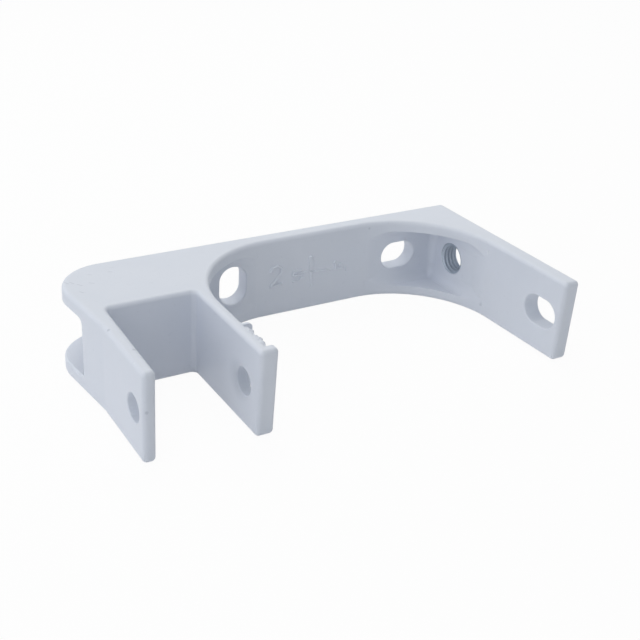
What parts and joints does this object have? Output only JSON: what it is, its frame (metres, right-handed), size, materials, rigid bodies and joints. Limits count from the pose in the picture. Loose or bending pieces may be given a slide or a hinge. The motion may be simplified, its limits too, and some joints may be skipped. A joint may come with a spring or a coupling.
{
  "type": "awning ceiling bracket",
  "caption": "Cast back bar with a long arm, a forked seat for a square tube, fixing slots, a cross-bolt bore and a tapped hole.",
  "frame": {"origin": "centre of the outline in plan, at the lower face", "axes": "+X along the back bar from the seat to the long arm, +Y out of the mounting face, +Z along the square tube"},
  "size_m": [0.2146, 0.1045, 0.0415],
  "materials": {
    "coated_casting": "satin white powder coat on cast aluminium"
  },
  "bodies": {
    "root": {"bracket": "coated_casting"}
  },
  "joints": []
}
